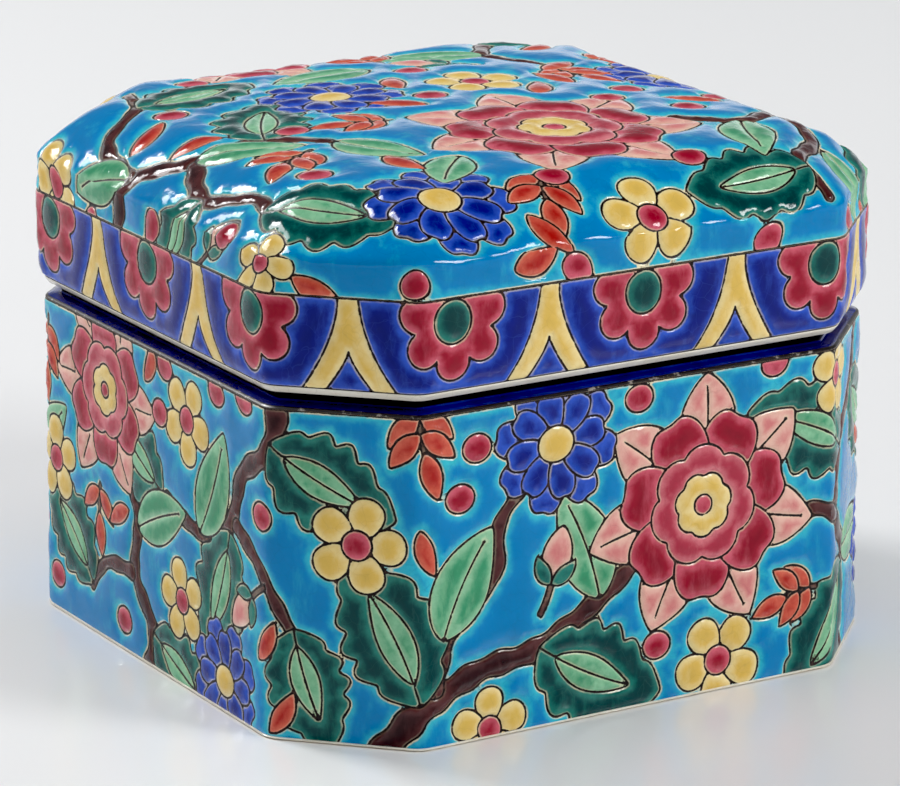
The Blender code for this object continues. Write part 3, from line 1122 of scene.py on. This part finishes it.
class Nodes:
    """A short way to build the nodes of a material or world."""

    def __init__(self, owner):
        owner.use_nodes = True
        self.owner = owner
        self.tree = owner.node_tree

    def add(self, kind, inputs=(), **settings):
        """A new node with its settings, and with its inputs by name or number."""
        node = self.tree.nodes.new(kind)
        for key, value in settings.items():
            setattr(node, key, value)
        for key, value in dict(inputs).items():
            self.put(value, node.inputs[key])
        return node

    def put(self, value, socket):
        """A plain value goes on the socket itself, and an output is linked to it."""
        if isinstance(value, bpy.types.NodeSocket):
            self.tree.links.new(value, socket)
        elif isinstance(value, tuple) and len(value) == 3 and socket.type == "RGBA":
            socket.default_value = (*value, 1.0)
        else:
            socket.default_value = value

    def finish(self, inputs, shader="Principled BSDF"):
        """The material or world, with its shader's inputs set."""
        for key, value in inputs.items():
            self.put(value, self.tree.nodes[shader].inputs[key])
        return self.owner

    def position(self):
        return self.add("ShaderNodeTexCoord").outputs["Object"]

    def noise(self, scale, detail=3.0, roughness=0.55, vector=None):
        vector = vector or self.position()
        inputs = {"Scale": scale, "Detail": detail, "Roughness": roughness, "Vector": vector}
        return self.add("ShaderNodeTexNoise", inputs).outputs["Fac"]

    def math(self, operation, *values):
        return self.add("ShaderNodeMath", enumerate(values), operation=operation).outputs[0]

    def shifted(self, value, noise, amount):
        """A value moved up and down by a noise, over a range of amount."""
        return self.math("ADD", value, self.math("MULTIPLY_ADD", noise, amount, -0.5 * amount))

    def ramp(self, value, low, high, to_low=0.0, to_high=1.0):
        inputs = {"Value": value, "From Min": low, "From Max": high, "To Min": to_low, "To Max": to_high}
        return self.add("ShaderNodeMapRange", inputs, interpolation_type="SMOOTHSTEP").outputs["Result"]

    def mix(self, share, first, second, kind="RGBA"):
        one, two, result = MIX_SOCKETS[kind]
        node = self.add("ShaderNodeMix", {0: share, one: first, two: second}, data_type=kind)
        return node.outputs[result]

    def cracks(self, scale, width):
        """Thin lines of crackle, 1 on a crack and 0 beside it."""
        warp = self.add("ShaderNodeTexNoise", {"Scale": scale * 0.8, "Vector": self.position()})
        bent = self.mix(0.0025, self.position(), warp.outputs["Color"], "VECTOR")
        cells = self.add("ShaderNodeTexVoronoi", {"Scale": scale, "Vector": bent}, feature="DISTANCE_TO_EDGE")
        return self.ramp(cells.outputs["Distance"], 0.0, width, 1.0, 0.0)

    def bump(self, height, strength, distance, below=None):
        inputs = {"Strength": strength, "Distance": distance, "Height": height}
        if below is not None:
            inputs["Normal"] = below
        return self.add("ShaderNodeBump", inputs).outputs["Normal"]


def srgb(red, green, blue):
    """A colour as a screen shows it, from 0 to 255, as the shader takes it."""
    values = []
    for value in (red, green, blue):
        share = value / 255
        values.append(share / 12.92 if share <= 0.04045 else ((share + 0.055) / 1.055) ** 2.4)
    return tuple(values)


LINE_COLOUR = srgb(22, 12, 12)
LINE_BROWN = srgb(66, 44, 36)
HALO_COLOUR = srgb(236, 224, 188)
RUBBED_COLOUR = srgb(176, 168, 156)


def glaze(name, deep, thin, crack, shade, halo_strength, pooled):
    """A thick glossy enamel: pale where it thins out beside the dark lines, deep within the cell."""
    nodes = Nodes(bpy.data.materials.new(name))
    deep, thin, crack = srgb(*deep), srgb(*thin), srgb(*crack)
    darker = tuple(shade * value for value in deep)
    darkest = tuple(0.6 * value for value in deep)
    attribute = nodes.add("ShaderNodeAttribute", attribute_name="line_distance").outputs["Fac"]
    distance = nodes.shifted(attribute, nodes.noise(1900.0, 4.0, 0.65), 0.24)
    distance = nodes.shifted(distance, nodes.noise(520.0, 2.0, 0.5), 0.16)
    pool = nodes.shifted(attribute, nodes.noise(340.0, 4.0, 0.6), 1.9)
    body = nodes.mix(nodes.ramp(pool, 0.0, 1.75), thin, deep)
    body = nodes.mix(nodes.ramp(pool, 1.1, 3.2, 0.0, pooled), body, darkest)
    body = nodes.mix(nodes.ramp(nodes.noise(130.0, 4.0, 0.6), 0.46, 0.70, 0.0, 0.6), body, darker)
    runs = nodes.add("ShaderNodeMapping", {"Scale": (1.0, 1.0, 0.3), "Vector": nodes.position()})
    pale = nodes.ramp(nodes.noise(300.0, 5.0, 0.65, runs.outputs["Vector"]), 0.50, 0.74, 0.0, 0.42)
    body = nodes.mix(pale, body, thin)
    halo = nodes.ramp(nodes.noise(260.0, 3.0, 0.6), 0.35, 0.65, 0.2 * halo_strength, 1.2 * halo_strength)
    beside = nodes.ramp(distance, LINE_HALF_WIDTH, LINE_HALF_WIDTH + HALO_WIDTH, 1.0, 0.0)
    body = nodes.mix(nodes.math("MULTIPLY", halo, beside), body, HALO_COLOUR)
    body = nodes.mix(nodes.math("MULTIPLY", nodes.cracks(330.0, 0.022), 0.14), body, crack)
    ink = nodes.mix(nodes.ramp(nodes.noise(1300.0, 3.0, 0.6), 0.50, 0.68), LINE_COLOUR, LINE_BROWN)
    line = nodes.ramp(distance, LINE_HALF_WIDTH - LINE_BLUR, LINE_HALF_WIDTH + LINE_BLUR, 1.0, 0.0)
    swell = nodes.bump(nodes.noise(210.0, 3.0, 0.5), 0.35, 0.0006)
    return nodes.finish({
        "Base Color": nodes.mix(line, body, ink),
        "Roughness": nodes.ramp(line, 0.0, 1.0, 0.12, 0.42),
        "Specular IOR Level": 0.42,
        "IOR": 1.45,
        "Normal": nodes.bump(nodes.noise(2300.0, 2.0, 0.5), 0.10, 0.00006, swell),
    })


def plain_glaze(name, colour, pale, roughness, crack, crack_strength, speckles=0.25):
    """A glaze or bare clay without drawn lines, clouded and crackled."""
    nodes = Nodes(bpy.data.materials.new(name))
    crack = srgb(*crack)
    body = nodes.mix(nodes.ramp(nodes.noise(120.0, 5.0, 0.6), 0.35, 0.7), srgb(*colour), srgb(*pale))
    body = nodes.mix(nodes.math("MULTIPLY", nodes.cracks(300.0, 0.03), crack_strength), body, crack)
    speckle = nodes.ramp(nodes.noise(1500.0, 2.0, 0.5), 0.62, 0.75, 0.0, speckles)
    return nodes.finish({
        "Base Color": nodes.mix(speckle, body, crack),
        "Roughness": nodes.ramp(nodes.noise(500.0), 0.3, 0.8, roughness, roughness * 1.5),
        "Normal": nodes.bump(nodes.noise(260.0, 4.0, 0.55), 0.3, 0.0004),
    })


def worn_edge():
    """The dark line along the body's upper arris, rubbed through to the pale glaze in specks."""
    nodes = Nodes(bpy.data.materials.new("worn_edge"))
    rubbed = nodes.ramp(nodes.noise(620.0, 5.0, 0.7), 0.56, 0.66, 0.0, 0.8)
    return nodes.finish({"Base Color": nodes.mix(rubbed, LINE_COLOUR, RUBBED_COLOUR), "Roughness": 0.35})


# Each enamel's deep colour, thin colour and crackle, the shade of its clouds, and how strongly it pales
# beside the lines and darkens where it pools
ENAMELS = {
    "turquoise": ((0, 130, 194), (58, 192, 208), (0, 84, 128), 0.80, 1.0, 0.15),
    "cobalt": ((0, 26, 132), (50, 92, 202), (60, 96, 190), 0.7, 0.5, 0.7),
    "crimson": ((156, 16, 44), (212, 100, 118), (96, 16, 36), 0.8, 0.5, 0.7),
    "rose": ((176, 54, 74), (220, 130, 138), (120, 40, 60), 0.85, 0.5, 0.5),
    "pink": ((214, 128, 126), (236, 194, 176), (160, 90, 90), 0.92, 0.4, 0.25),
    "yellow": ((224, 186, 92), (238, 218, 158), (160, 125, 66), 0.92, 0.3, 0.3),
    "bottle_green": ((0, 64, 66), (44, 132, 118), (60, 120, 104), 0.75, 0.6, 0.6),
    "mint": ((62, 150, 108), (150, 204, 164), (56, 116, 92), 0.85, 0.5, 0.45),
    "orange_red": ((172, 32, 28), (216, 106, 84), (110, 30, 30), 0.8, 0.4, 0.6),
    "brown": ((46, 13, 18), (92, 50, 50), (36, 14, 18), 0.7, 0.15, 0.3),
}

materials = {name: glaze(f"{name}_enamel", *looks) for name, looks in ENAMELS.items()}
materials |= {
    "ledge": plain_glaze("ledge_cobalt", (6, 20, 100), (26, 50, 150), 0.08, (70, 90, 160), 0.15),
    # The dark outline finish also stands as painted shade on the riser, in the gap under the lid's rim.
    "line": plain_glaze("dark_outline_and_gap_shade", (14, 9, 9), (24, 18, 17), 0.7, (60, 54, 50), 0.1),
    "ivory": plain_glaze("ivory_crackle_glaze", (226, 220, 200), (236, 232, 216), 0.14, (120, 100, 80), 0.6),
    "cream": plain_glaze("cream_rim", (226, 220, 204), (238, 234, 222), 0.12, (150, 135, 110), 0.15, 0.12),
    "clay": plain_glaze("bare_clay", (206, 184, 150), (222, 204, 174), 0.75, (150, 125, 95), 0.15),
    "worn": worn_edge(),
}


# The piece

def dress_box():
    body_wall = Wall(0.0, body_outward)
    lid_wall = Wall(-LID_OVERHANG, band_outward)
    top = LidTop()
    body_names = ["body_enamel_front", "body_enamel_right", "body_enamel_back", "body_enamel_left"]
    band_names = ["lid_band_front", "lid_band_right", "lid_band_back", "lid_band_left"]
    skins = wall_skins(body_names, body_design(), body_wall, FOOT_LINE_LEVEL, ARRIS_LINE_LEVEL, False)
    for skin in skins:
        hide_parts("box_body")
    bands = wall_skins(band_names, band_design(lid_wall), lid_wall, BEVEL_TOP, BAND_TOP, True)
    bands.append(top_skin(top))
    for skin in bands:
        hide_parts("lid")
    for skin in skins + bands:
        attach(skin, "root")
    for piece, node in ((body_shell(), "box_body"), (lid_shell(top), "lid")):
        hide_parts(node)
        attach(piece, "root")


# Stage. Lengths are metres here, and the lamps' power is watts.

def floor():
    nodes = Nodes(bpy.data.materials.new("pale_floor"))
    tone = nodes.mix(nodes.noise(3.0, 2.0), srgb(243, 243, 244), srgb(247, 247, 247))
    bpy.ops.mesh.primitive_plane_add(size=8.0, location=(0.0, 0.0, 0.0))
    plane = bpy.context.object
    plane.name = "floor"
    plane.data.materials.append(nodes.finish({"Base Color": tone, "Roughness": 0.22}))


def aimed(thing, azimuth, elevation, distance, target):
    """Moves a lamp or camera to a distance from its target, and turns it to look there."""
    turn, rise = math.radians(azimuth), math.radians(elevation)
    away = Vector((math.sin(turn) * math.cos(rise), -math.cos(turn) * math.cos(rise), math.sin(rise)))
    thing.location = target + away * distance
    thing.rotation_euler = away.to_track_quat("Z", "Y").to_euler()


def area_light(name, azimuth, elevation, distance, width, height, power):
    """A soft box that looks at the middle of the object."""
    data = bpy.data.lights.new(name, "AREA")
    data.shape = "RECTANGLE"
    data.size = width
    data.size_y = height
    data.energy = power
    lamp = linked(name, data)
    aimed(lamp, azimuth, elevation, distance, Vector((0.0, 0.0, 0.045)))
    return lamp


def camera():
    data = bpy.data.cameras.new("camera")
    data.lens = CAMERA_LENS
    data.sensor_width = CAMERA_SENSOR
    data.clip_end = 20.0
    eye = linked("camera", data)
    aimed(eye, CAMERA_AZIMUTH, CAMERA_ELEVATION, CAMERA_DISTANCE * METRES, Vector(CAMERA_TARGET) * METRES)
    bpy.context.scene.camera = eye


def sky():
    """A pale sweep round the horizon that darkens upwards, as a table top seems to do in a dark room."""
    nodes = Nodes(bpy.data.worlds.new("studio"))
    direction = nodes.add("ShaderNodeTexCoord").outputs["Generated"]
    height = nodes.add("ShaderNodeSeparateXYZ", {"Vector": direction}).outputs["Z"]
    strength = nodes.ramp(height, 0.06, 0.36, 1.12, 0.26)
    bpy.context.scene.world = nodes.finish({"Color": (0.96, 0.98, 1.0), "Strength": strength}, "Background")


def studio():
    sky()
    area_light("front_light", 36.0, 31.0, 1.2, 0.40, 0.24, 6.1)
    area_light("left_light", -152.0, 43.0, 1.1, 0.26, 0.26, 6.0)
    glints = area_light("left_glints", -128.0, 44.0, 1.1, 0.80, 0.56, 20.0)
    glints.visible_diffuse = False
    overhead = area_light("top_light", 0.0, 84.0, 1.6, 1.2, 1.2, 6.0)
    overhead.visible_glossy = False
    view = bpy.context.scene.view_settings
    view.view_transform = "Standard"
    view.use_curve_mapping = True
    view.curve_mapping.black_level = (0.016, 0.016, 0.016)


camera()
studio()
floor()
dress_box()
